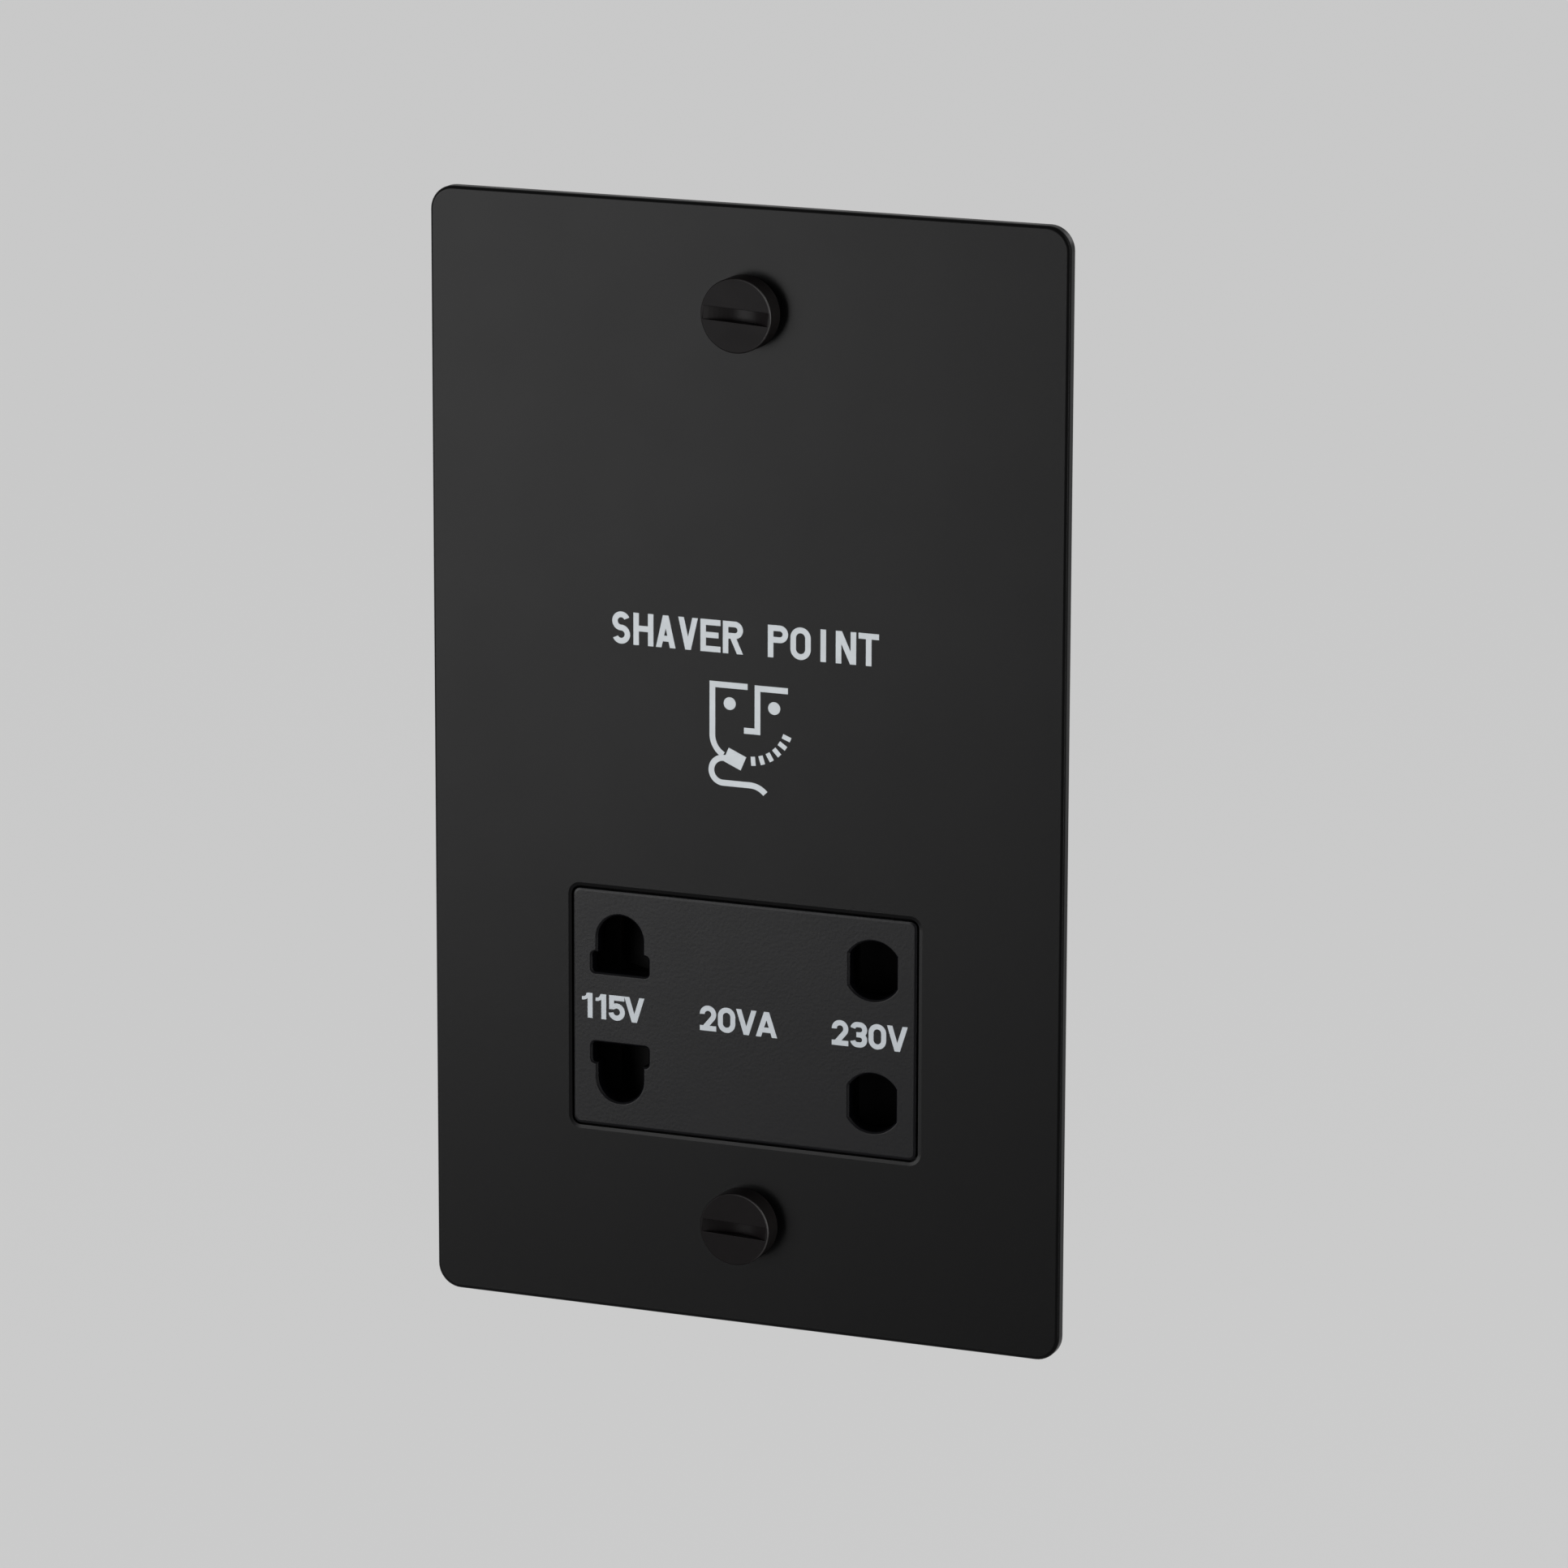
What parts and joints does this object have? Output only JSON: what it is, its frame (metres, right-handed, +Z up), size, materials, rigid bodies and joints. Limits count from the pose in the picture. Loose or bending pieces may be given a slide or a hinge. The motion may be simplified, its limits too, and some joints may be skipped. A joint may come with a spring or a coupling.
{
  "type": "shaver socket",
  "caption": "Flat wall plate with a moulded dual-voltage shaver outlet, an interlock shutter and an isolating transformer in a stepped rear housing.",
  "frame": {"origin": "middle of the plate's back face, midway between the two fixing screws", "axes": "+X right and +Z up as seen on the wall, +Y into the wall"},
  "size_m": [0.088, 0.0447, 0.148],
  "materials": {
    "plate_coating": "satin black coating",
    "screw_coating": "satin black coating",
    "insert_plastic": "fine moulded texture",
    "shutter_plastic": "moulded",
    "carrier_plastic": "moulded",
    "housing_plastic": "moulded texture",
    "bobbin_plastic": "moulded",
    "insulation_film": "plain sheet",
    "spring_strip": "rolled strip",
    "contact_bronze": "rolled strip",
    "terminal_brass": "machined",
    "zinc_steel": "zinc plated",
    "lamination_steel": "varnished stack",
    "winding_primary": "taped copper winding",
    "winding_secondary": "taped copper winding",
    "cutout_case": "sealed case",
    "lead_brown": "insulated wire",
    "lead_blue": "insulated wire",
    "lead_white": "insulated wire",
    "lead_red": "insulated wire",
    "lead_grey": "insulated wire"
  },
  "bodies": {
    "unit": {"front_plate": "plate_coating", "fixing_screws": "screw_coating", "socket_insert": "insert_plastic", "centring_spring": "spring_strip", "contact_carrier": "carrier_plastic", "contact_115v": "contact_bronze", "contact_230v": "contact_bronze", "common_contact": "contact_bronze", "contact_cover": "carrier_plastic", "carrier_screws": "zinc_steel", "rear_housing": "housing_plastic", "stud_nuts": "zinc_steel", "insulation_sheet": "insulation_film", "transformer_core": "lamination_steel", "coil_bobbin": "bobbin_plastic", "primary_winding": "winding_primary", "secondary_winding": "winding_secondary", "thermal_cutout": "cutout_case", "core_strap": "zinc_steel", "strap_screws": "zinc_steel", "live_terminal": "terminal_brass", "neutral_terminal": "terminal_brass", "earth_terminal": "terminal_brass", "terminal_screws": "zinc_steel", "earth_strap": "zinc_steel", "live_lead": "lead_brown", "neutral_lead": "lead_blue", "lead_115v": "lead_white", "lead_230v": "lead_red", "lead_common": "lead_grey"},
    "shutter": {"interlock_shutter": "shutter_plastic"}
  },
  "joints": [
    {"name": "shutter_slide", "type": "slide", "parent": "unit", "child": "shutter", "axis": [1, 0, 0], "range_m": [-0.006, 0.006], "stiffness_N_per_m": 60, "deforming": ["centring_spring"]}
  ]
}
